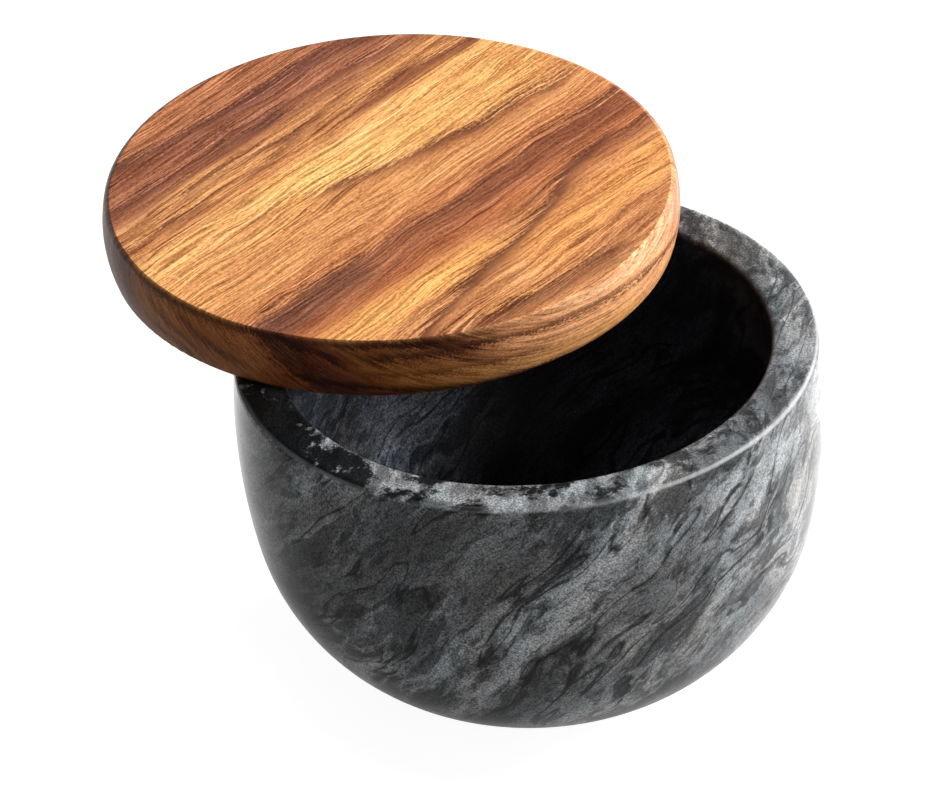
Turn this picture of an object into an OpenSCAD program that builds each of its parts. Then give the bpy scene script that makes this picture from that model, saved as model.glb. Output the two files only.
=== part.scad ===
// Round stone salt cellar. A flat wooden lid, glued up from two boards, swings
// sideways over the rim on a loose steel pin and lifts off it.
// The origin is the middle of the pad underneath, with +Z up and the pin on the -X side.

/* [Bowl] */
// Outside diameter at the widest ring
bowl_d = 114; // [100:0.5:130]
// Height of the stone
bowl_h = 70.5; // [62:0.5:80]
// Depth of the widest ring below the rim
widest_depth = 12.8; // [8:0.1:18]
// Section radius of the gently curved side
side_r = 126; // [90:1:180]
// Depth below the rim at which the side turns under
turn_depth = 38; // [32:0.5:44]
// Diameter of the flat foot, to its sharp edge
foot_d = 52; // [44:1:60]
// Width of the flat rim, corner to corner
rim_w = 9; // [7:0.1:12]
// Thickness of the floor
floor_t = 10; // [6:0.5:14]
// Section radius between the inside wall and the floor
inside_r = 32; // [20:1:40]
// Radius of the rim's outer edge
rim_edge_r = 1; // [0.5:0.1:2.5]
// Radius of the rim's inner edge
mouth_edge_r = 1.2; // [0.5:0.1:2.5]
// Radius of the edge round the foot
foot_edge_r = 3; // [1:0.1:5]

/* [Lid] */
// Thickness of the boards
lid_t = 13; // [10:0.5:20]
// Running gap between the rim and the lid
lid_gap = 0.2; // [0.1:0.05:0.5]
// How far the lid's widest ring stands outside the rim's outer corner
lid_overhang = 0.3; // [-1:0.05:2]
// Section radius of the bulged side
lid_side_r = 20; // [15:0.5:60]
// Height of the widest ring above the underside
lid_widest_h = 7.5; // [5:0.1:8]
// Width of the narrow board at its widest
narrow_board_w = 35.8; // [20:0.1:50]
// Direction of the boards, measured from the line through the pin
board_angle = -11.6; // [-45:0.1:45]
// Radius of the lid's upper edge
lid_top_edge_r = 1.2; // [0.5:0.1:3]
// Radius of the lid's lower edge
lid_low_edge_r = 1.5; // [0.3:0.1:3]
// How far the lid is swung open
lid_open_angle = 52.8; // [0:0.1:180]

/* [Pin] */
// Diameter of the pin
pin_d = 4; // [3:0.1:5]
// How deep the pin stands in the stone
pin_in_stone = 14; // [8:0.5:20]
// How far the pin reaches up into the lid
pin_in_lid = 8; // [4:0.5:8.5]
// Chamfer on both ends of the pin
pin_chamfer = 0.5; // [0.2:0.1:1]
// Radial play of the pin in both of its holes
pin_play = 0.05; // [0.02:0.01:0.08]
// Free height above the pin in the lid
pin_head_room = 0.7; // [0.3:0.1:1]
// Chamfer round the mouth of the hole in the stone
hole_chamfer = 0.4; // [0.2:0.1:1]

/* [Pad] */
// Thickness of the pad
pad_t = 1.5; // [0.8:0.1:3]
// How far the pad's edge stands inside the foot
pad_inset = 4; // [2:0.5:10]

/* [Hidden] */
$fn = 180;
// Overrun of a cut past the face that it leaves
overrun = 1;

// Heights
foot_z = pad_t;
floor_z = foot_z + floor_t;
rim_z = foot_z + bowl_h;
lid_z = rim_z + lid_gap;
widest_z = rim_z - widest_depth;
turn_z = rim_z - turn_depth;

// The side is one arc, centred past the axis at the height of the widest ring
bowl_r = bowl_d / 2;
side_x = bowl_r - side_r;
rim_r = side_x + sqrt(pow(side_r, 2) - pow(widest_depth, 2));
mouth_r = rim_r - rim_w;

// The arc that turns under leaves the side smoothly and ends at the foot
foot_r = foot_d / 2;
turn_sin = (turn_depth - widest_depth) / side_r;
turn_cos = sqrt(1 - pow(turn_sin, 2));
turn_r = side_x + side_r * turn_cos;
under_run = turn_r - foot_r;
under_drop = turn_z - foot_z;
under_r = (pow(under_run, 2) + pow(under_drop, 2)) / (2 * (under_run * turn_cos - under_drop * turn_sin));
under_x = turn_r - under_r * turn_cos;
under_z = turn_z + under_r * turn_sin;

// Pin, halfway across the rim
pin_r = pin_d / 2;
hole_r = pin_r + pin_play;
pin_x = -(rim_r - rim_w / 2);
pin_foot_z = rim_z - pin_in_stone;
pin_top_z = lid_z + pin_in_lid;

lid_r = rim_r + lid_overhang;
lid_side_x = lid_r - lid_side_r;
seam_y = lid_r - narrow_board_w;

pad_r = foot_r - pad_inset;

// Distance from the axis to the centre of an edge's radius that leaves a curved side smoothly
function edge_x(side_x, side_r, side_z, edge_r, edge_z) =
  side_x + sqrt(pow(side_r - edge_r, 2) - pow(edge_z - side_z, 2));

// Waste outside a rounded edge: the sector between two directions, less the edge's own circle
module edge_waste(centre, radius, from_angle, to_angle) {
  from_side = [cos(from_angle), sin(from_angle)];
  to_side = [cos(to_angle), sin(to_angle)];
  corner = (from_side + to_side) / (1 + cos(to_angle - from_angle));
  translate(centre)
    difference() {
      polygon(2 * radius * [[0, 0], from_side, corner, to_side]);
      circle(r = radius);
    }
}

// Outside of the bowl in section, before its edges are rounded
module bowl_outline() {
  intersection() {
    translate([side_x, widest_z]) circle(r = side_r);
    translate([0, turn_z]) square([bowl_r, turn_depth]);
  }
  intersection() {
    translate([under_x, under_z]) circle(r = under_r);
    translate([0, foot_z]) square([bowl_r, under_drop]);
  }
}

// Hollow of the bowl in section: a straight wall, a round corner and a flat floor
module bowl_hollow() {
  corner_x = mouth_r - inside_r;
  corner_z = floor_z + inside_r;
  translate([0, corner_z]) square([mouth_r, rim_z - corner_z + overrun]);
  translate([0, floor_z]) square([corner_x, inside_r]);
  intersection() {
    translate([corner_x, corner_z]) circle(r = inside_r);
    translate([corner_x, floor_z]) square(inside_r);
  }
}

module bowl_section() {
  rim_edge_z = rim_z - rim_edge_r;
  rim_edge_x = edge_x(side_x, side_r, widest_z, rim_edge_r, rim_edge_z);
  foot_edge_z = foot_z + foot_edge_r;
  foot_edge_x = edge_x(under_x, under_r, under_z, foot_edge_r, foot_edge_z);
  difference() {
    bowl_outline();
    bowl_hollow();
    edge_waste([rim_edge_x, rim_edge_z], rim_edge_r, atan2(rim_edge_z - widest_z, rim_edge_x - side_x), 90);
    edge_waste([foot_edge_x, foot_edge_z], foot_edge_r, -90,
               atan2(foot_edge_z - under_z, foot_edge_x - under_x));
    edge_waste([mouth_r + mouth_edge_r, rim_z - mouth_edge_r], mouth_edge_r, 90, 180);
  }
}

// Turned and polished stone, drilled for the pin
module bowl() {
  color("#55585c")
    difference() {
      rotate_extrude() bowl_section();
      translate([pin_x, 0, pin_foot_z]) cylinder(r = hole_r, h = pin_in_stone + overrun);
      translate([pin_x, 0, rim_z - hole_chamfer])
        cylinder(r1 = hole_r, r2 = hole_r + hole_chamfer + overrun, h = hole_chamfer + overrun);
    }
}

// Half of the lid in section, with its bulged side and rounded edges
module lid_section() {
  top_edge_z = lid_t - lid_top_edge_r;
  top_edge_x = edge_x(lid_side_x, lid_side_r, lid_widest_h, lid_top_edge_r, top_edge_z);
  low_edge_z = lid_low_edge_r;
  low_edge_x = edge_x(lid_side_x, lid_side_r, lid_widest_h, lid_low_edge_r, low_edge_z);
  difference() {
    union() {
      square([lid_side_x, lid_t]);
      intersection() {
        translate([lid_side_x, lid_widest_h]) circle(r = lid_side_r);
        square([lid_r, lid_t]);
      }
    }
    edge_waste([top_edge_x, top_edge_z], lid_top_edge_r,
               atan2(top_edge_z - lid_widest_h, top_edge_x - lid_side_x), 90);
    edge_waste([low_edge_x, low_edge_z], lid_low_edge_r, -90,
               atan2(low_edge_z - lid_widest_h, low_edge_x - lid_side_x));
  }
}

// Round lid as it is turned from the glued board, closed over the bowl and with its blind hole
module closed_lid() {
  difference() {
    translate([0, 0, lid_z]) rotate_extrude() lid_section();
    translate([pin_x, 0, lid_z - overrun]) cylinder(r = hole_r, h = overrun + pin_in_lid + pin_head_room);
  }
}

// All of the closed lid between two distances from its middle, across the boards
module board(low_y, high_y) {
  intersection() {
    closed_lid();
    rotate([0, 0, board_angle])
      translate([-lid_r - overrun, low_y, lid_z - overrun])
        cube([2 * (lid_r + overrun), high_y - low_y, lid_t + 2 * overrun]);
  }
}

// Swings what it holds open about the pin
module swung() {
  translate([pin_x, 0, 0]) rotate([0, 0, lid_open_angle]) translate([-pin_x, 0, 0]) children();
}

module lid_wide_board() {
  color("#b97a45") swung() board(-lid_r - overrun, seam_y);
}

module lid_narrow_board() {
  color("#9a6038") swung() board(seam_y, lid_r + overrun);
}

// Loose steel pin, standing on the bottom of its hole
module pivot_pin() {
  color("silver")
    translate([pin_x, 0, pin_foot_z])
      rotate_extrude()
        polygon([
          [0, 0],
          [pin_r - pin_chamfer, 0],
          [pin_r, pin_chamfer],
          [pin_r, pin_top_z - pin_foot_z - pin_chamfer],
          [pin_r - pin_chamfer, pin_top_z - pin_foot_z],
          [0, pin_top_z - pin_foot_z]
        ]);
}

// Thin round pad, stuck on under the foot
module base_pad() {
  color("#26272a") cylinder(r = pad_r, h = pad_t);
}

bowl();
lid_wide_board();
lid_narrow_board();
pivot_pin();
base_pad();
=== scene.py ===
import math

import bpy
from mathutils import Matrix, Vector


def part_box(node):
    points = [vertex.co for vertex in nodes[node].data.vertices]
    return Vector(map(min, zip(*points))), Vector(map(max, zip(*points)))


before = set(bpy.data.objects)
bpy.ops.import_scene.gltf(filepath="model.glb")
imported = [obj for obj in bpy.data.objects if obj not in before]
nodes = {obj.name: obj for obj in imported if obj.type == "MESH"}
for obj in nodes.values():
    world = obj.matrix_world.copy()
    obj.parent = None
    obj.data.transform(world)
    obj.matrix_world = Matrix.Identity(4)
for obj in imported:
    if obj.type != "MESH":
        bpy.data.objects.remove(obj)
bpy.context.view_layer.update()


# Base pad: a thin round disc of closed-cell foam, stuck under the foot so that the stone
# neither slides nor scratches the table. Die-cut, with a fine open grain on its faces.
def add_node(tree, kind, inputs=None, **settings):
    """Adds a shader node, with its settings, and sets or links its inputs by name or number."""
    node = tree.nodes.new(kind)
    for setting, value in settings.items():
        setattr(node, setting, value)
    for socket, value in (inputs or {}).items():
        if isinstance(value, bpy.types.NodeSocket):
            tree.links.new(value, node.inputs[socket])
        else:
            node.inputs[socket].default_value = value
    return node


def colour_scale(tree, value, stops):
    """A colour for each value, from a list of places and colours."""
    node = add_node(tree, "ShaderNodeValToRGB", {"Fac": value})
    elements = node.color_ramp.elements
    while len(elements) < len(stops):
        elements.new(0.5)
    for element, (place, colour) in zip(elements, stops):
        element.position = place
        element.color = (*colour, 1.0)
    return node.outputs["Color"]


def start_material(name, **values):
    """A new material with one Principled shader, and that shader."""
    material = bpy.data.materials.new(name)
    material.use_nodes = True
    shader = material.node_tree.nodes["Principled BSDF"]
    for socket, value in values.items():
        shader.inputs[socket.replace("_", " ")].default_value = value
    return material, shader


def dress(node_name, material):
    """Gives a carried-over part its material."""
    for slot in nodes[node_name].material_slots:
        slot.material = material


cells_per_metre = 2600.0
cell_depth = 0.0002
foam_dark = (0.012, 0.012, 0.013)
foam_light = (0.03, 0.03, 0.032)

foam, foam_shader = start_material("pad_foam", Roughness=0.9)
tree = foam.node_tree
place = add_node(tree, "ShaderNodeTexCoord").outputs["Object"]
cells = add_node(tree, "ShaderNodeTexVoronoi", {"Vector": place, "Scale": cells_per_metre})
cells = cells.outputs["Distance"]
foam_colour = colour_scale(tree, cells, [(0.1, foam_dark), (0.8, foam_light)])
tree.links.new(foam_colour, foam_shader.inputs["Base Color"])
foam_bump = add_node(tree, "ShaderNodeBump", {"Height": cells, "Strength": 0.4, "Distance": cell_depth})
tree.links.new(foam_bump.outputs["Normal"], foam_shader.inputs["Normal"])
dress("base_pad", foam)


# Bowl: turned from one block of dark grey marble and polished. The stone is layered on a slant,
# with soft clouds, black blotches, thin dark cracks and a fine bright crystal grain.
def calculate(tree, operation, first, second=0.0, third=0.0):
    """One sum on one or more values, as a Math node's output."""
    inputs = {0: first, 1: second, 2: third}
    return add_node(tree, "ShaderNodeMath", inputs, operation=operation).outputs[0]


def remainder(tree, share):
    """What a share leaves of the whole."""
    return calculate(tree, "SUBTRACT", 1.0, share)


def between(tree, value, low, high):
    """A value's place between two limits, from 0 to 1 with soft ends."""
    inputs = {"Value": value, "From Min": low, "From Max": high}
    node = add_node(tree, "ShaderNodeMapRange", inputs, interpolation_type="SMOOTHSTEP")
    return node.outputs["Result"]


def calculate_vector(tree, operation, first, second=(0, 0, 0), third=(0, 0, 0), output="Vector"):
    """One sum on one or more vectors, as a Vector Math node's output."""
    inputs = {0: first, 1: second, 2: third}
    return add_node(tree, "ShaderNodeVectorMath", inputs, operation=operation).outputs[output]


def towards(tree, vector, direction):
    """How far a place or a normal reaches in one direction."""
    return calculate_vector(tree, "DOT_PRODUCT", vector, direction, output="Value")


def stretched(tree, vector, scale):
    """A place with its three measures scaled."""
    return add_node(tree, "ShaderNodeMapping", {"Vector": vector, "Scale": scale}).outputs[0]


def blend_colours(tree, share, low, high, mode="MIX"):
    """A colour between two others, as a Mix node's output."""
    inputs = {"Factor": share, "A": low, "B": high}
    return add_node(tree, "ShaderNodeMix", inputs, data_type="RGBA", blend_type=mode).outputs["Result"]


def lay_over(tree, ground, mask, strength, colour):
    """Lays one colour over another where a mask is, at part of its strength."""
    return blend_colours(tree, calculate(tree, "MULTIPLY", mask, strength), ground, (*colour, 1))


def tint(tree, ground, colour):
    """One colour times another."""
    return blend_colours(tree, 1.0, ground, colour, mode="MULTIPLY")


def grey(tree, level):
    """A grey of one level."""
    return add_node(tree, "ShaderNodeCombineColor", {0: level, 1: level, 2: level}).outputs[0]


def blend_normals(tree, share, low, high):
    """A normal between two others, as a Mix node's output."""
    return add_node(tree, "ShaderNodeMix", {"Factor": share, 4: low, 5: high}, data_type="VECTOR").outputs[1]


def turn_with_part(tree, normal):
    """A normal given in a part's own directions, turned as the part turns."""
    node = add_node(tree, "ShaderNodeVectorTransform", {0: normal}, vector_type="NORMAL",
                    convert_from="OBJECT", convert_to="WORLD")
    return node.outputs[0]


def noise(tree, vector, features, detail, roughness=0.5, output="Fac"):
    """Noise with so many features to the unit of length."""
    inputs = {"Vector": vector, "Scale": features, "Detail": detail, "Roughness": roughness}
    return add_node(tree, "ShaderNodeTexNoise", inputs).outputs[output]


def shifted(tree, vector, features, detail, distance):
    """A place moved about by noise, so that what is laid over it swirls."""
    shift = noise(tree, vector, features, detail, 0.55, output="Color")
    shift = calculate_vector(tree, "SUBTRACT", shift, (0.5, 0.5, 0.5))
    return calculate_vector(tree, "MULTIPLY_ADD", shift, (distance,) * 3, vector)


def crack(tree, vector, features, detail, width):
    """Thin winding lines, where noise crosses its middle value."""
    line = calculate(tree, "SUBTRACT", noise(tree, vector, features, detail), 0.5)
    return remainder(tree, between(tree, calculate(tree, "ABSOLUTE", line), 0.0, width))


# The stone's features are set out from the middle of the rim, in units of about its radius.
stone_unit = 0.056
rim_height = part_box("bowl")[1].z
layer_normal = Vector((0.72, -0.3, -0.6))
layer_turn = layer_normal.rotation_difference(Vector((0, 0, 1))).to_euler()

marble, marble_shader = start_material("grey_marble", IOR=1.5, Specular_IOR_Level=0.15)
tree = marble.node_tree
place = add_node(tree, "ShaderNodeTexCoord").outputs["Object"]
axes = add_node(tree, "ShaderNodeSeparateXYZ", {0: place}).outputs
centred = add_node(tree, "ShaderNodeMapping", {
    "Vector": place,
    "Location": (0, 0, rim_height),
    "Scale": (stone_unit,) * 3,
}, vector_type="TEXTURE").outputs[0]
swirled = shifted(tree, centred, 1.3, 2.0, 0.3)
layered = add_node(tree, "ShaderNodeMapping", {"Vector": swirled, "Rotation": layer_turn}).outputs[0]
squeezed = stretched(tree, layered, (0.95, 0.95, 2.8))
ragged = shifted(tree, squeezed, 7.0, 4.0, 0.12)

# Broad clouds, lighter towards the right of the front: partly the stone's own paler tone, partly
# painted light on the side the lamp lights.
clouds = noise(tree, squeezed, 1.3, 6.0, 0.6)
pale_and_lit_zone = between(tree, towards(tree, centred, (0.85, -0.45, -0.2)), 0.35, 1.05)
cloud_level = calculate(tree, "MULTIPLY_ADD", pale_and_lit_zone, 0.07, clouds)
stone = colour_scale(tree, cloud_level, [
    (0.36, (0.078, 0.079, 0.081)),
    (0.46, (0.156, 0.158, 0.162)),
    (0.55, (0.25, 0.255, 0.262)),
    (0.64, (0.40, 0.406, 0.416)),
])

# Dark blotches with ragged edges, and finer dark mottling.
blotches = noise(tree, ragged, 2.3, 6.0, 0.6)
stone = lay_over(tree, stone, between(tree, blotches, 0.5, 0.57), 0.7, (0.018, 0.018, 0.019))
mottling = noise(tree, ragged, 8.0, 6.0, 0.72)
stone = lay_over(tree, stone, between(tree, mottling, 0.51, 0.58), 0.6, (0.02, 0.02, 0.021))

# Dark cracks along the layers, the long ones first. Each row has what the cracks follow, their
# features, detail and width, and their strength and colour.
long_layers = shifted(tree, stretched(tree, squeezed, (0.5, 0.5, 1.0)), 5.0, 3.0, 0.08)
for layers, features, detail, width, strength, colour in (
    (long_layers, 1.7, 3.0, 0.015, 0.88, (0.01, 0.01, 0.011)),
    (ragged, 2.7, 4.0, 0.014, 0.5, (0.012, 0.012, 0.013)),
    (ragged, 6.0, 5.0, 0.02, 0.45, (0.015, 0.015, 0.016)),
    (ragged, 13.0, 4.0, 0.03, 0.35, (0.02, 0.02, 0.021)),
):
    stone = lay_over(tree, stone, crack(tree, layers, features, detail, width), strength, colour)

# Pale wisps where the stone is lightest.
lightest = between(tree, cloud_level, 0.5, 0.62)
wisps = calculate(tree, "MULTIPLY", crack(tree, ragged, 4.0, 6.0, 0.035), lightest)
stone = lay_over(tree, stone, wisps, 0.35, (0.6, 0.61, 0.62))

# The flat of the rim is paler at the front, and its mottling stands out more there and at the left.
# At the left the stronger dark mottling is painted shade where the lid's shadow falls; on the lit
# right the mottling is weaker, as painted light.
rim_band_low = rim_height - 0.0009
rim_band_high = rim_height - 0.0003
on_rim = between(tree, axes["Z"], rim_band_low, rim_band_high)
lid_shadow_zone = between(tree, towards(tree, centred, (-0.94, -0.34, 0.0)), 0.79, 0.93)
front_zone = between(tree, towards(tree, centred, (-0.2, -0.98, 0.0)), -0.2, 0.5)
spotted_zone = calculate(tree, "MAXIMUM", front_zone, lid_shadow_zone)
rim_contrast = calculate(tree, "MULTIPLY_ADD", spotted_zone, 0.4, 0.6)
neither_side = remainder(tree, calculate(tree, "MAXIMUM", lid_shadow_zone, pale_and_lit_zone))
pale_zone = calculate(tree, "MULTIPLY", front_zone, neither_side)
pale_share = calculate(tree, "MULTIPLY_ADD", pale_zone, 0.32, 0.14)
stone = lay_over(tree, stone, on_rim, pale_share, (0.32, 0.325, 0.335))
rim_mottling = calculate(tree, "MULTIPLY_ADD", between(tree, mottling, 0.56, 0.42), 0.75, -0.3)
lit_mottling = calculate(tree, "MULTIPLY_ADD", pale_and_lit_zone, -0.5, 1.0)
rim_mottling = calculate(tree, "MULTIPLY", rim_mottling, lit_mottling)
rim_mottling = calculate(tree, "MULTIPLY", rim_mottling, rim_contrast)
stone = tint(tree, stone, grey(tree, calculate(tree, "MULTIPLY_ADD", on_rim, rim_mottling, 1.0)))

# Where the rim cuts across the layers they show as black spots. Extra spots, painted shade where the
# lid's shadow falls, crowd them together at the left, and they are fainter on the lit right.
spot_level = calculate(tree, "MULTIPLY_ADD", lid_shadow_zone, 0.19, noise(tree, swirled, 8.0, 7.0, 0.7))
spot_mask = calculate(tree, "MULTIPLY", between(tree, spot_level, 0.485, 0.575), on_rim)
lit_spots = calculate(tree, "MULTIPLY_ADD", pale_and_lit_zone, -0.35, 0.98)
spot_strength = calculate(tree, "MULTIPLY", lit_spots, rim_contrast)
stone = lay_over(tree, stone, spot_mask, spot_strength, (0.004, 0.005, 0.0055))

# The grey leans a little to blue in some places and to brown in others.
lean_colour = colour_scale(tree, noise(tree, squeezed, 3.0, 3.0), [
    (0.35, (1.0, 0.965, 0.92)),
    (0.5, (0.985, 0.997, 1.0)),
    (0.65, (0.92, 0.985, 1.0)),
])
stone = tint(tree, stone, lean_colour)

# Crystal grain, weaker towards the right of the front.
crystals_per_metre = 2500.0
mean_crystal = 0.41
crystals = between(tree, noise(tree, place, crystals_per_metre, 2.0, 0.7), 0.3, 0.78)
crystals = calculate(tree, "SUBTRACT", crystals, mean_crystal)
crystal_gain = calculate(tree, "MULTIPLY_ADD", pale_and_lit_zone, -0.6, 1.5)
stone = tint(tree, stone, grey(tree, calculate(tree, "MULTIPLY_ADD", crystals, crystal_gain, 1.0)))

# A painted highlight: a pale line under a millimetre wide along the rim's outer edge, strongest on
# the lit right.
edge_highlight_radius = 0.0561
edge_highlight_height = rim_height - 0.0004
across_square = calculate(tree, "MULTIPLY", axes["Y"], axes["Y"])
from_axis = calculate(tree, "SQRT", calculate(tree, "MULTIPLY_ADD", axes["X"], axes["X"], across_square))
off_corner = add_node(tree, "ShaderNodeCombineXYZ", {
    0: calculate(tree, "SUBTRACT", from_axis, edge_highlight_radius),
    1: calculate(tree, "SUBTRACT", axes["Z"], edge_highlight_height),
}).outputs[0]
corner_distance = calculate_vector(tree, "LENGTH", off_corner, output="Value")
painted_edge_highlight = remainder(tree, between(tree, corner_distance, 0.0001, 0.0006))
edge_highlight_share = calculate(tree, "MULTIPLY_ADD", between(tree, clouds, 0.35, 0.75), 0.25,
                         calculate(tree, "MULTIPLY", pale_and_lit_zone, 0.45))
stone = lay_over(tree, stone, painted_edge_highlight, edge_highlight_share, (0.62, 0.625, 0.635))

# The outside and the rim are polished, and the hollow is only ground smooth. Its colour carries
# painted shade, darkest towards the right, and painted light, brighter and bluer at the left.
wall_inner_radius = 0.0473
wall_outer_radius = 0.0483
hollow_centre = (0, 0, 0.06)
hollow_reach = 0.0555
hollow_shaded_right = between(tree, towards(tree, centred, (0.93, -0.35, 0.0)), -0.75, -0.2)
hollow_painted_light_and_shade = blend_colours(tree, hollow_shaded_right, (2.0, 2.05, 2.3, 1), (0.16, 0.16, 0.19, 1))
from_hollow_centre = calculate_vector(tree, "DISTANCE", place, hollow_centre, output="Value")
within_wall = remainder(tree, between(tree, from_axis, wall_inner_radius, wall_outer_radius))
within_reach = calculate(tree, "LESS_THAN", from_hollow_centre, hollow_reach)
inside = calculate(tree, "MULTIPLY", within_wall, within_reach)
stone = tint(tree, stone, blend_colours(tree, inside, (1, 1, 1, 1), hollow_painted_light_and_shade))
tree.links.new(stone, marble_shader.inputs["Base Color"])
tree.links.new(calculate(tree, "MULTIPLY_ADD", inside, 0.35, 0.2), marble_shader.inputs["Roughness"])

# The rim's outer edge is eased by hand over 2 mm, so it shines in one smooth line.
eased_radius = 0.002
eased_from_axis = 0.054543
flat_of_rim_radius = 0.0525
least_rise = 1e-6
eased_height = rim_height - eased_radius
outwards = calculate(tree, "MAXIMUM", calculate(tree, "SUBTRACT", from_axis, eased_from_axis), 0.0)
upwards = calculate(tree, "MAXIMUM", calculate(tree, "SUBTRACT", axes["Z"], eased_height), least_rise)
outwards_share = calculate(tree, "DIVIDE", outwards, from_axis)
arc_normal = add_node(tree, "ShaderNodeCombineXYZ", {
    0: calculate(tree, "MULTIPLY", axes["X"], outwards_share),
    1: calculate(tree, "MULTIPLY", axes["Y"], outwards_share),
    2: upwards,
}).outputs[0]
own_normal = add_node(tree, "ShaderNodeNewGeometry").outputs["Normal"]
on_arc = calculate(tree, "MULTIPLY", calculate(tree, "GREATER_THAN", axes["Z"], eased_height),
                   calculate(tree, "GREATER_THAN", from_axis, flat_of_rim_radius))
stone_normal = blend_normals(tree, on_arc, own_normal, turn_with_part(tree, arc_normal))
tree.links.new(stone_normal, marble_shader.inputs["Normal"])
dress("bowl", marble)


# Pivot pin: a plain length of ground steel rod with chamfered ends, loose in a blind hole in
# the rim and another in the lid.
grinding_per_metre = (300.0, 300.0, 20000.0)
steel_dark = (0.45, 0.46, 0.48)
steel_light = (0.62, 0.63, 0.65)

steel, steel_shader = start_material("ground_steel", Metallic=1.0, Roughness=0.3)
tree = steel.node_tree
place = add_node(tree, "ShaderNodeTexCoord").outputs["Object"]
grinding = noise(tree, stretched(tree, place, grinding_per_metre), 1.0, 2.0)
steel_colour = colour_scale(tree, grinding, [(0.3, steel_dark), (0.7, steel_light)])
tree.links.new(steel_colour, steel_shader.inputs["Base Color"])
dress("pivot_pin", steel)


# Lid: a disc turned from two boards of brown hardwood glued edge to edge, sanded and oiled.
# Both boards are sawn from one log, so they share their grain and differ in their figure.
def srgb(red, green, blue):
    """A colour given as picture values from 0 to 255, in the shader's own scale."""
    return tuple(((level / 255 + 0.055) / 1.055) ** 2.4 for level in (red, green, blue))


def new_group(name, inputs, outputs):
    """A shader node group with named number and vector sockets."""
    group = bpy.data.node_groups.new(name, "ShaderNodeTree")
    kinds = {"value": "NodeSocketFloat", "vector": "NodeSocketVector"}
    for socket, kind in inputs.items():
        group.interface.new_socket(socket, in_out="INPUT", socket_type=kinds[kind])
    for socket, kind in outputs.items():
        group.interface.new_socket(socket, in_out="OUTPUT", socket_type=kinds[kind])
    return group, add_node(group, "NodeGroupInput").outputs, add_node(group, "NodeGroupOutput").inputs


# The figure is set out along and across the grain, in units of 56 mm from a point near the middle
# of the top. The turned edge is set out from the lid's true middle, which its boards' boxes give.
figure_unit = 0.056
figure_origin = (-0.0211, 0.0410, 0.0852)
grain_direction = math.radians(41.97)
lid_thickness = 0.013
wide_low, wide_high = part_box("lid_wide_board")
narrow_low, narrow_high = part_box("lid_narrow_board")
lid_middle = ((narrow_low.x + wide_high.x) / 2, (wide_low.y + narrow_high.y) / 2, wide_high.z)
flat_top_radius = 0.05493


def from_lid_middle(tree, place):
    """The way from the middle of the lid's top to a place, and its level part."""
    way = calculate_vector(tree, "SUBTRACT", place, lid_middle)
    return way, calculate_vector(tree, "MULTIPLY", way, (1, 1, 0))


grain, grain_in, grain_out = new_group(
    "sawn_grain",
    {"Position": "vector", "Ring Centre Across": "value", "Ring Centre Height": "value", "Wander": "value"},
    {"Along": "value", "Across": "value", "Round": "value", "Down": "value", "On Side": "value",
     "Light": "value", "Dark Lines": "value", "Pores": "value"})
grain_link = grain.links.new
board_place = add_node(grain, "ShaderNodeMapping", {
    "Vector": grain_in["Position"],
    "Location": figure_origin,
    "Rotation": (0, 0, grain_direction),
    "Scale": (figure_unit,) * 3,
}, vector_type="TEXTURE").outputs[0]
board_axes = add_node(grain, "ShaderNodeSeparateXYZ", {0: board_place}).outputs

# The growth rings are arcs, so a streak that shows on top sinks as it runs round the side. Past
# the flat top's border a place across the board is held where the border is.
level_way = from_lid_middle(grain, grain_in["Position"])[1]
from_middle = calculate_vector(grain, "LENGTH", level_way, output="Value")
held = calculate(grain, "DIVIDE", flat_top_radius, calculate(grain, "MAXIMUM", from_middle, flat_top_radius))
held_across = calculate(grain, "MULTIPLY", board_axes["Y"], held)
ring_across = calculate(grain, "SUBTRACT", held_across, grain_in["Ring Centre Across"])
ring_height = calculate(grain, "SUBTRACT", board_axes["Z"], grain_in["Ring Centre Height"])
ring_square = calculate(grain, "ADD", calculate(grain, "POWER", ring_across, 2.0),
                        calculate(grain, "POWER", ring_height, 2.0))
top_square = calculate(grain, "POWER", grain_in["Ring Centre Height"], 2.0)
ring_square = calculate(grain, "SUBTRACT", ring_square, top_square)
ring_root = calculate(grain, "SQRT", calculate(grain, "MAXIMUM", ring_square, 0.0))
level_across = calculate(grain, "ADD", ring_root, grain_in["Ring Centre Across"])


def grain_place(across):
    """A place for the grain's noise, in which height counts for a quarter."""
    height = calculate(grain, "MULTIPLY", board_axes["Z"], 0.25)
    return add_node(grain, "ShaderNodeCombineXYZ", {0: board_axes["X"], 1: across, 2: height}).outputs[0]


def grain_noise(vector, along, across, detail, roughness):
    """Noise drawn out along the grain, with so many features to the unit each way."""
    return noise(grain, stretched(grain, vector, (along, across, across)), 1.0, detail, roughness)


def nudged(value, nudges):
    """A value moved about by several noises, each with its own reach."""
    for pattern, reach in nudges:
        value = calculate(grain, "MULTIPLY_ADD", calculate(grain, "SUBTRACT", pattern, 0.5), reach, value)
    return value


wave = grain_noise(grain_place(level_across), 1.6, 4.0, 3.0, 0.5)
waved_place = grain_place(calculate(grain, "MULTIPLY_ADD", wave, grain_in["Wander"], level_across))
bands = grain_noise(waved_place, 1.1, 22.0, 4.0, 0.62)
lines = grain_noise(waved_place, 1.7, 62.0, 3.0, 0.6)
fibres = grain_noise(waved_place, 4.5, 135.0, 3.0, 0.65)
fine_lines = grain_noise(waved_place, 2.2, 46.0, 4.0, 0.55)
speckle = grain_noise(board_place, 60.0, 180.0, 2.0, 0.7)
vessels = grain_noise(board_place, 18.0, 190.0, 2.0, 0.6)
grain_link(board_axes["X"], grain_out["Along"])
across_nudges = ((wave, grain_in["Wander"]), (bands, 0.11), (lines, 0.07), (fibres, 0.13), (speckle, 0.07))
grain_link(nudged(level_across, across_nudges), grain_out["Across"])

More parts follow.
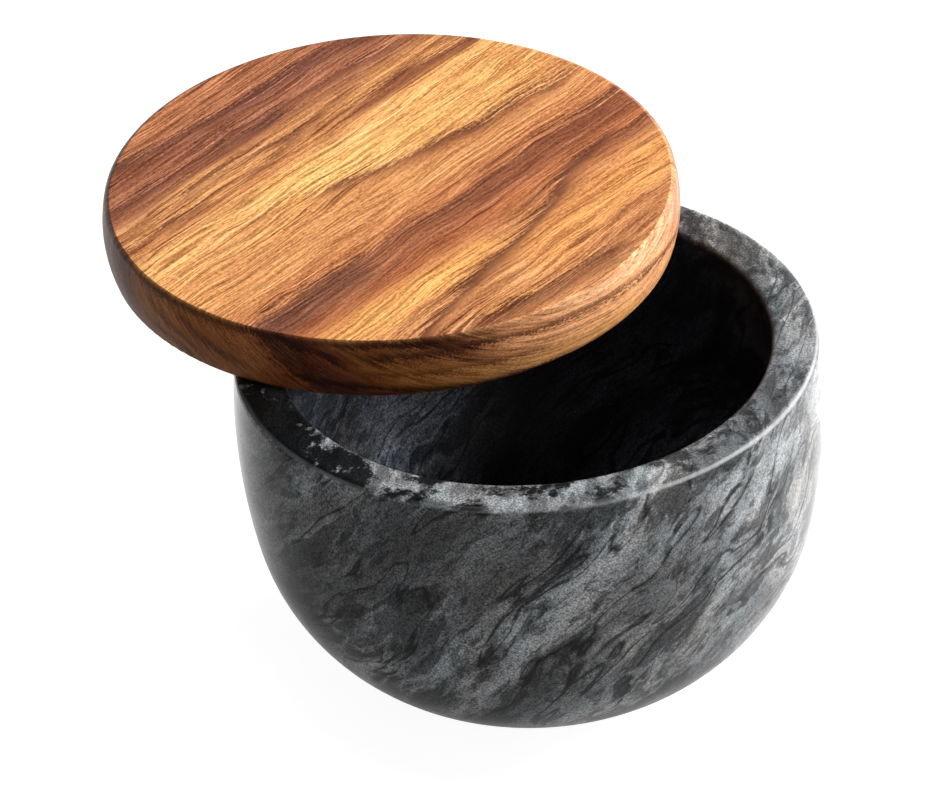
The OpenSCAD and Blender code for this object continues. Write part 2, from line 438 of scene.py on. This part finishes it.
# Each set of lines lightens and darkens the wood by its own share, in powers of two, and darkens
# it more than it lightens it.
exponent = nudged(0.0, ((bands, 2.1), (lines, 3.9), (fibres, 5.4), (speckle, 4.0)))
exponent = calculate(grain, "MULTIPLY_ADD", calculate(grain, "ABSOLUTE", exponent), -0.3, exponent)
grain_link(calculate(grain, "POWER", 2.0, exponent), grain_out["Light"])
grain_link(between(grain, fine_lines, 0.53, 0.63), grain_out["Dark Lines"])
grain_link(between(grain, vessels, 0.57, 0.68), grain_out["Pores"])

# On the turned side a streak is placed by how far round it is, from the end of the grain, and how
# far down, as a share of the thickness.
side_border_width = 0.0002
round_angle = calculate(grain, "ARCTAN2", calculate(grain, "MULTIPLY", board_axes["Y"], -1.0),
                        calculate(grain, "MULTIPLY", board_axes["X"], -1.0))
grain_link(calculate(grain, "DIVIDE", round_angle, math.pi), grain_out["Round"])
down = calculate(grain, "MULTIPLY", board_axes["Z"], -figure_unit / lid_thickness)
grain_link(nudged(down, ((bands, 0.2), (lines, 0.15), (speckle, 0.25))), grain_out["Down"])
side_mask = between(grain, from_middle, flat_top_radius, flat_top_radius + side_border_width)
grain_link(side_mask, grain_out["On Side"])

streak_group, streak_in, streak_out = new_group(
    "wood_streak",
    {"Along": "value", "Across": "value", "Centre": "value", "Half Width": "value", "Softness": "value",
     "Start": "value", "End": "value", "Fade": "value"},
    {"Mask": "value"})
off_centre = calculate(streak_group, "SUBTRACT", streak_in["Across"], streak_in["Centre"])
off_centre = calculate(streak_group, "ABSOLUTE", off_centre)
inner_edge = calculate(streak_group, "SUBTRACT", streak_in["Half Width"], streak_in["Softness"])
outer_edge = calculate(streak_group, "ADD", streak_in["Half Width"], streak_in["Softness"])
crosswise = remainder(streak_group, between(streak_group, off_centre, inner_edge, outer_edge))
full_start = calculate(streak_group, "ADD", streak_in["Start"], streak_in["Fade"])
full_end = calculate(streak_group, "SUBTRACT", streak_in["End"], streak_in["Fade"])
begins = between(streak_group, streak_in["Along"], streak_in["Start"], full_start)
ends = remainder(streak_group, between(streak_group, streak_in["Along"], full_end, streak_in["End"]))
lengthwise = calculate(streak_group, "MULTIPLY", begins, ends)
streak_group.links.new(calculate(streak_group, "MULTIPLY", crosswise, lengthwise), streak_out["Mask"])


def on_curve(along, across):
    """A point of a route on a curve node's sheet, which runs from 0 to 1 both ways."""
    return along / 2 + 0.5, across / 2 + 0.5


def lay_streaks(tree, board, wood, streaks, on_side=False):
    """Lays streaks over the wood, one after another. Each has a route, a half width, a softness, a
    fade at its ends, a strength and a colour. A route is a few points, along and across the board,
    or round and down its side."""
    along = board["Round" if on_side else "Along"]
    across = board["Down" if on_side else "Across"]
    for route, half_width, softness, fade, strength, streak_colour in streaks:
        curve_place = calculate(tree, "MULTIPLY_ADD", along, 0.5, 0.5)
        curve = add_node(tree, "ShaderNodeFloatCurve", {"Value": curve_place})
        line = curve.mapping.curves[0]
        for point in route[1:-1]:
            line.points.new(*on_curve(*point))
        line.points[0].location = on_curve(*route[0])
        line.points[-1].location = on_curve(*route[-1])
        curve.mapping.update()
        share = add_node(tree, "ShaderNodeGroup", {
            "Along": along,
            "Across": across,
            "Centre": calculate(tree, "MULTIPLY_ADD", curve.outputs[0], 2.0, -1.0),
            "Half Width": half_width,
            "Softness": softness,
            "Start": route[0][0],
            "End": route[-1][0],
            "Fade": fade,
        }, node_tree=streak_group).outputs["Mask"]
        if on_side:
            strength = calculate(tree, "MULTIPLY", board["On Side"], strength)
        wood = lay_over(tree, wood, share, strength, srgb(*streak_colour))
    return wood


def start_board(name, ring_centre_across, ring_centre_height, wander, stops):
    """A board's material with the grain in it, and the wood's own colour from edge to edge."""
    material, shader = start_material(name, Roughness=0.5, Specular_IOR_Level=0.12)
    tree = material.node_tree
    board = add_node(tree, "ShaderNodeGroup", {
        "Position": add_node(tree, "ShaderNodeTexCoord").outputs["Object"],
        "Ring Centre Across": ring_centre_across,
        "Ring Centre Height": ring_centre_height,
        "Wander": wander,
    }, node_tree=grain).outputs
    share_across = calculate(tree, "MULTIPLY_ADD", board["Across"], 0.5, 0.5)
    wood = colour_scale(tree, share_across, [(place, srgb(*colour)) for place, colour in stops])
    return material, shader, board, wood


# The sanded edge begins at a clear border, so its normal leans outwards at once and then turns on
# down to the side.
border_end_radius = 0.05515
border_lean = 0.62
edge_end_radius = 0.0560
edge_lean = 0.38
edge_depth = 0.0011
grain_depth = 0.0002


def finish_wood(tree, board, shader, wood, line_strength):
    """Adds grain lines, pores and darker end grain to a board's colour, and its edge and bump."""
    level = add_node(tree, "ShaderNodeRGBToBW", {0: wood}).outputs[0]
    contrast = calculate(tree, "MULTIPLY_ADD", between(tree, level, 0.3, 0.05), 0.4, 1.0)
    contrast = calculate(tree, "MULTIPLY_ADD", board["On Side"], -0.35, contrast)
    light = calculate(tree, "POWER", board["Light"], contrast)
    wood = lay_over(tree, wood, board["Dark Lines"], line_strength, srgb(112, 58, 34))
    line_colour = add_node(tree, "ShaderNodeCombineColor", {
        0: calculate(tree, "POWER", light, 0.75),
        1: light,
        2: calculate(tree, "POWER", light, 1.2),
    }).outputs[0]
    wood = tint(tree, wood, line_colour)
    wood = tint(tree, wood, (1.06, 0.98, 0.9, 1))
    wood = lay_over(tree, wood, board["Pores"], 0.55, srgb(98, 46, 20))
    coordinates = add_node(tree, "ShaderNodeTexCoord").outputs
    along_grain = (math.cos(grain_direction), math.sin(grain_direction), 0)
    facing_ends = calculate(tree, "ABSOLUTE", towards(tree, coordinates["Normal"], along_grain))
    end_grain = calculate(tree, "MULTIPLY", between(tree, facing_ends, 0.15, 0.85), board["On Side"])
    wood = blend_colours(tree, end_grain, wood, (0.46, 0.35, 0.28, 1), mode="MULTIPLY")
    tree.links.new(wood, shader.inputs["Base Color"])
    way, level_way = from_lid_middle(tree, coordinates["Object"])
    distance = calculate_vector(tree, "LENGTH", level_way, output="Value")
    outwards = calculate_vector(tree, "NORMALIZE", level_way)
    past_border = between(tree, distance, flat_top_radius, border_end_radius)
    past_edge = between(tree, distance, border_end_radius, edge_end_radius)
    lean = calculate(tree, "MULTIPLY", past_border, border_lean)
    lean = calculate(tree, "MULTIPLY_ADD", past_edge, edge_lean, lean)
    edge_normal = turn_with_part(tree, blend_normals(tree, lean, (0, 0, 1), outwards))
    depth = add_node(tree, "ShaderNodeSeparateXYZ", {0: way}).outputs["Z"]
    on_edge = calculate(tree, "GREATER_THAN", depth, -edge_depth)
    own_normal = add_node(tree, "ShaderNodeNewGeometry").outputs["Normal"]
    bump = add_node(tree, "ShaderNodeBump", {
        "Height": calculate(tree, "MULTIPLY_ADD", board["Pores"], -0.4, light),
        "Strength": 0.15,
        "Distance": grain_depth,
        "Normal": blend_normals(tree, on_edge, own_normal, edge_normal),
    })
    tree.links.new(bump.outputs["Normal"], shader.inputs["Normal"])


wide, wide_shader, board, wood = start_board("wide_board_wood", -1.9, 1.6, 0.12, [
    (0.02, (192, 134, 86)),
    (0.06, (188, 130, 84)),
    (0.10, (190, 130, 84)),
    (0.15, (210, 151, 98)),
    (0.20, (208, 147, 94)),
    (0.25, (194, 133, 86)),
    (0.29, (172, 106, 66)),
    (0.335, (144, 88, 60)),
    (0.375, (156, 97, 63)),
    (0.41, (192, 127, 80)),
    (0.45, (210, 150, 96)),
    (0.55, (208, 148, 92)),
    (0.60, (218, 160, 100)),
    (0.66, (230, 174, 110)),
    (0.70, (196, 138, 88)),
    (0.76, (150, 98, 64)),
])
tree = wide.node_tree
fork_route = [(-0.9, -0.8), (-0.675, -0.735), (-0.33, -0.66), (0.075, -0.585), (0.3, -0.51), (0.8, -0.4)]
wood = lay_streaks(tree, board, wood, [
    ([(-0.45, 0.27), (0.0, 0.21), (0.3, 0.16), (1.05, 0.13)],
     0.10, 0.07, 0.3, 0.6, (238, 188, 114)),
    ([(-0.45, 0.25), (-0.2, 0.24), (0.05, 0.18), (0.25, 0.12)],
     0.03, 0.03, 0.12, 0.45, (246, 206, 134)),
    ([(-0.3, 0.15), (-0.15, 0.125), (0.075, 0.06), (0.3, 0.0), (0.525, -0.02), (1.05, -0.035)],
     0.045, 0.04, 0.25, 0.55, (160, 102, 64)),
    ([(-0.3, 0.165), (-0.15, 0.135), (0.075, 0.075), (0.3, 0.015), (0.525, -0.0075), (1.05, -0.0225)],
     0.013, 0.013, 0.2, 0.85, (96, 52, 34)),
    ([(0.4, 0.19), (1.05, 0.14)], 0.012, 0.01, 0.2, 0.6, (180, 110, 60)),
    ([(0.2, 0.29), (1.05, 0.25)], 0.008, 0.008, 0.2, 0.5, (190, 125, 70)),
    ([(-1.1, -0.235), (-0.55, -0.22), (-0.3, -0.24), (0.0, -0.28), (0.3, -0.265), (1.1, -0.24)],
     0.02, 0.02, 0.1, 0.65, (90, 50, 34)),
    ([(-1.1, -0.29), (-0.9, -0.28), (-0.35, -0.27)], 0.05, 0.05, 0.15, 0.75, (95, 60, 48)),
    ([(0.2, -0.3), (0.6, -0.31), (1.1, -0.33)], 0.05, 0.05, 0.2, 0.5, (124, 68, 46)),
    ([(0.4, -0.46), (0.7, -0.46), (1.1, -0.49)], 0.03, 0.03, 0.15, 0.6, (110, 62, 48)),
    ([(-1.0, -0.47), (-0.5, -0.53), (0.1, -0.58)], 0.07, 0.05, 0.25, 0.85, (226, 166, 96)),
    ([(-0.2, -0.72), (0.3, -0.68), (1.0, -0.6)], 0.10, 0.05, 0.25, 0.6, (216, 152, 86)),
    (fork_route, 0.06, 0.05, 0.15, 0.5, (150, 92, 54)),
    (fork_route, 0.02, 0.018, 0.15, 0.8, (90, 50, 36)),
    ([(-0.75, -0.78), (-0.3, -0.86), (0.0, -0.9), (0.25, -0.92)],
     0.045, 0.035, 0.15, 0.75, (112, 66, 42)),
    ([(-0.44, -0.815), (-0.15, -0.83)], 0.012, 0.01, 0.06, 0.8, (226, 166, 100)),
])

# Streaks on the wide board's turned side. The last two are a painted highlight along its upper edge
# at the lit right, and painted shade along its dark lower edge.
near_black = (42, 22, 12)
wood = lay_streaks(tree, board, wood, [
    ([(0.27, 0.5), (0.45, 0.5), (0.75, 0.5)], 0.6, 0.1, 0.12, 0.85, (238, 176, 126)),
    ([(0.5, 0.5), (0.75, 0.5), (1.0, 0.5)], 0.6, 0.1, 0.15, 0.2, (240, 192, 158)),
    ([(0.1, 0.2), (0.25, 0.2), (0.38, 0.2)], 0.2, 0.12, 0.1, 0.55, (92, 50, 28)),
    ([(-0.09, 0.14), (-0.05, 0.45), (0.015, 0.75)], 0.05, 0.05, 0.03, 0.6, (80, 44, 26)),
    ([(-0.05, 0.08), (-0.004, 0.36), (0.046, 0.6), (0.08, 0.75)],
     0.08, 0.08, 0.04, 0.65, (84, 46, 28)),
    ([(-0.1, 0.62), (-0.05, 0.72), (-0.017, 0.82), (0.01, 0.98)],
     0.06, 0.05, 0.03, 0.6, (62, 40, 28)),
    ([(0.085, 0.0), (0.118, 0.1), (0.155, 0.22), (0.175, 0.33), (0.195, 0.5)],
     0.07, 0.05, 0.03, 0.85, near_black),
    ([(0.18, 0.24), (0.263, 0.24), (0.34, 0.2), (0.41, 0.24), (0.46, 0.26), (0.55, 0.33),
      (0.62, 0.45), (0.70, 0.65)],
     0.045, 0.04, 0.05, 0.8, (70, 36, 24)),
    ([(0.18, 0.03), (0.263, 0.09), (0.30, 0.16), (0.36, 0.26)],
     0.05, 0.04, 0.04, 0.85, (70, 36, 22)),
    ([(0.17, 0.53), (0.263, 0.54), (0.34, 0.56), (0.43, 0.6)],
     0.035, 0.04, 0.05, 0.6, (90, 46, 26)),
    ([(0.10, 0.6), (0.155, 0.71), (0.207, 0.8), (0.263, 0.87), (0.335, 0.93), (0.47, 0.97)],
     0.06, 0.04, 0.04, 0.85, near_black),
    ([(0.46, 0.05), (0.568, 0.15), (0.657, 0.29), (0.70, 0.48), (0.73, 0.75)],
     0.03, 0.04, 0.05, 0.45, (150, 100, 70)),
    ([(0.2, 0.68), (0.3, 0.74), (0.42, 0.78), (0.62, 0.8)],
     0.1, 0.08, 0.08, 0.8, (232, 172, 104)),
    ([(-0.15, 0.06), (0.0, 0.06), (0.15, 0.06), (0.34, 0.05)],
     0.05, 0.04, 0.08, 0.5, (50, 26, 14)),
    # Painted highlight along the upper edge, at the lit right.
    ([(0.38, 0.05), (0.6, 0.12), (0.8, 0.14), (1.0, 0.14)],
     0.08, 0.04, 0.14, 0.38, (240, 206, 168)),
    # Painted shade along the lower edge, over the dark hollow.
    ([(-1.0, 0.99), (0.0, 0.99), (0.3, 0.99), (1.0, 0.99)],
     0.05, 0.03, 0.02, 0.6, (60, 32, 16)),
], on_side=True)
finish_wood(tree, board, wide_shader, wood, 0.32)
dress("lid_wide_board", wide)

narrow, narrow_shader, board, wood = start_board("narrow_board_wood", -3.0, 1.4, 0.08, [
    (0.66, (186, 130, 82)),
    (0.70, (190, 130, 80)),
    (0.74, (196, 140, 88)),
    (0.775, (188, 130, 85)),
    (0.80, (158, 102, 72)),
    (0.84, (154, 98, 70)),
    (0.88, (150, 94, 68)),
    (0.91, (164, 106, 74)),
    (0.94, (174, 114, 78)),
    (0.98, (178, 116, 78)),
])
tree = narrow.node_tree
wood = lay_streaks(tree, board, wood, [
    ([(-0.7, 0.84), (-0.37, 0.81), (0.0, 0.78), (0.3, 0.765), (0.85, 0.68)],
     0.02, 0.015, 0.2, 0.75, (86, 48, 42)),
    ([(-0.9, 0.68), (-0.75, 0.665), (-0.3, 0.645), (0.2, 0.59)],
     0.02, 0.015, 0.15, 0.7, (85, 50, 44)),
    ([(-0.3, 0.70), (0.0, 0.665), (0.3, 0.63), (0.8, 0.60)],
     0.012, 0.01, 0.15, 0.7, (92, 50, 38)),
    ([(-0.65, 0.74), (-0.2, 0.75), (0.3, 0.71), (0.9, 0.66)],
     0.008, 0.008, 0.15, 0.6, (98, 54, 42)),
    ([(0.3, 0.79), (0.6, 0.76), (0.9, 0.72)], 0.01, 0.008, 0.1, 0.6, (98, 54, 42)),
    ([(-1.0, 0.54), (-0.6, 0.575), (-0.2, 0.60), (0.4, 0.565), (0.9, 0.55)],
     0.01, 0.01, 0.15, 0.6, (100, 56, 42)),
    ([(-0.95, 0.565), (-0.6, 0.56), (-0.2, 0.555)], 0.02, 0.015, 0.12, 0.7, (222, 166, 106)),
    ([(-0.55, 0.51), (-0.2, 0.53), (0.1, 0.44)], 0.012, 0.01, 0.1, 0.6, (110, 65, 48)),
    ([(-0.25, 0.42), (0.05, 0.47), (0.45, 0.53)], 0.010, 0.008, 0.1, 0.6, (110, 65, 48)),
    ([(-1.0, 0.455), (-0.7, 0.44), (-0.4, 0.42)], 0.014, 0.012, 0.1, 0.7, (110, 62, 48)),
    ([(0.2, 0.42), (0.6, 0.40), (1.05, 0.37)], 0.03, 0.02, 0.15, 0.75, (115, 65, 45)),
])

# The turned side is darker and greyer than the wide board's.
wood = lay_streaks(tree, board, wood, [
    ([(-1.0, 0.5), (-0.5, 0.5), (0.2, 0.5)], 0.7, 0.1, 0.01, 0.6, (122, 88, 76)),
], on_side=True)
finish_wood(tree, board, narrow_shader, wood, 0.7)
dress("lid_narrow_board", narrow)


# Studio: a pale floor that runs out of sight, a large soft lamp low at the right and slightly
# behind, weak ones in front and overhead, and surroundings that are white low down behind and to
# the right, and dim in front and above. The floor lies just under the pad and shows only from above.
floor_size = 6.0
floor_drop = 0.00005
floor_grey = (0.25, 0.25, 0.25, 1)
white = (1, 1, 1, 1)
seen_glow = 0.93
least_glow = 0.12
glossy_gain = 1.25

bpy.ops.mesh.primitive_plane_add(size=floor_size)
floor = bpy.context.object
floor.name = "studio_floor"
floor.location.z = -floor_drop
# The floor glows: evenly white where it is seen, and, in the light it throws on the cellar, brighter behind
# and to the right.
floor_material, floor_shader = start_material("pale_floor", Base_Color=floor_grey, Roughness=0.9)
tree = floor_material.node_tree
ray = add_node(tree, "ShaderNodeLightPath").outputs
floor_place = add_node(tree, "ShaderNodeTexCoord").outputs["Object"]
lit_share = between(tree, towards(tree, floor_place, (0.45, 0.9, 0.0)), -0.08, 0.2)
glow_reach = calculate(tree, "MULTIPLY_ADD", ray["Is Glossy Ray"], glossy_gain, 1.0)
glow_on_object = calculate(tree, "MULTIPLY_ADD", lit_share, glow_reach, least_glow)
glow_inputs = {"Factor": ray["Is Camera Ray"], "A": glow_on_object, "B": seen_glow}
floor_glow = add_node(tree, "ShaderNodeMix", glow_inputs).outputs["Result"]
tree.links.new(floor_glow, floor_shader.inputs["Emission Strength"])
floor_shader.inputs["Emission Color"].default_value = white
from_below = add_node(tree, "ShaderNodeNewGeometry").outputs["Backfacing"]
nothing = add_node(tree, "ShaderNodeBsdfTransparent").outputs[0]
one_sided = add_node(tree, "ShaderNodeMixShader", {0: from_below, 1: floor_shader.outputs[0], 2: nothing})
tree.links.new(one_sided.outputs[0], tree.nodes["Material Output"].inputs["Surface"])
floor.data.materials.append(floor_material)

world = bpy.data.worlds.new("studio_surroundings")
bpy.context.scene.world = world
world.use_nodes = True
tree = world.node_tree
direction = add_node(tree, "ShaderNodeTexCoord").outputs["Generated"]
brightest = Vector((0.62, 0.66, 0.42)).normalized()
glow = add_node(tree, "ShaderNodeMapRange", {
    "Value": towards(tree, direction, brightest),
    "From Min": -0.5,
    "From Max": 0.9,
    "To Min": 0.08,
    "To Max": 1.0,
}).outputs["Result"]
height = add_node(tree, "ShaderNodeSeparateXYZ", {0: direction}).outputs["Z"]
glow = calculate(tree, "MULTIPLY_ADD", glow, between(tree, height, 0.6, 0.3), 0.06)
tree.links.new(glow, tree.nodes["Background"].inputs["Strength"])
tree.nodes["Background"].inputs["Color"].default_value = white

lamp_target = Vector((0, 0, 0.05))


def soft_lamp(name, place, size, power):
    """A square area lamp that points at the cellar."""
    lamp = bpy.data.objects.new(name, bpy.data.lights.new(name, "AREA"))
    bpy.context.scene.collection.objects.link(lamp)
    lamp.data.size = size
    lamp.data.energy = power
    lamp.location = place
    lamp.rotation_euler = (lamp_target - Vector(place)).to_track_quat("-Z", "Y").to_euler()


soft_lamp("window_lamp", (1.25, 0.28, 0.72), 1.2, 36.0)
soft_lamp("front_lamp", (0.45, -1.3, 0.75), 0.8, 4.0)
soft_lamp("overhead_lamp", (0.1, -0.1, 1.6), 0.9, 11.3)


# Camera: a long lens above the front, as in the picture, which is 940 pixels wide and 788 high.
# It is placed so that the middle of the rim falls on its own pixel of the picture.
picture_size = (940, 788)
lens = 340.0
sensor_width = 36.0
view_azimuth = -5.71
view_elevation = 34.06
view_roll = -3.39
view_distance = 1.71
rim_centre_px = (525.69, 342.96)
rim_centre = Vector((0, 0, rim_height))

focal_px = lens / sensor_width * picture_size[0]
turn = (Matrix.Rotation(math.radians(view_azimuth), 3, "Z")
        @ Matrix.Rotation(math.radians(90 - view_elevation), 3, "X")
        @ Matrix.Rotation(math.radians(view_roll), 3, "Z"))
across = (rim_centre_px[0] - picture_size[0] / 2) / focal_px
down = (rim_centre_px[1] - picture_size[1] / 2) / focal_px
camera = bpy.data.objects.new("camera", bpy.data.cameras.new("camera"))
bpy.context.scene.collection.objects.link(camera)
camera.data.lens = lens
camera.data.sensor_width = sensor_width
camera.location = rim_centre - turn @ (Vector((across, -down, -1)) * view_distance)
camera.rotation_euler = turn.to_euler()
bpy.context.scene.camera = camera
bpy.context.scene.view_settings.view_transform = "Standard"
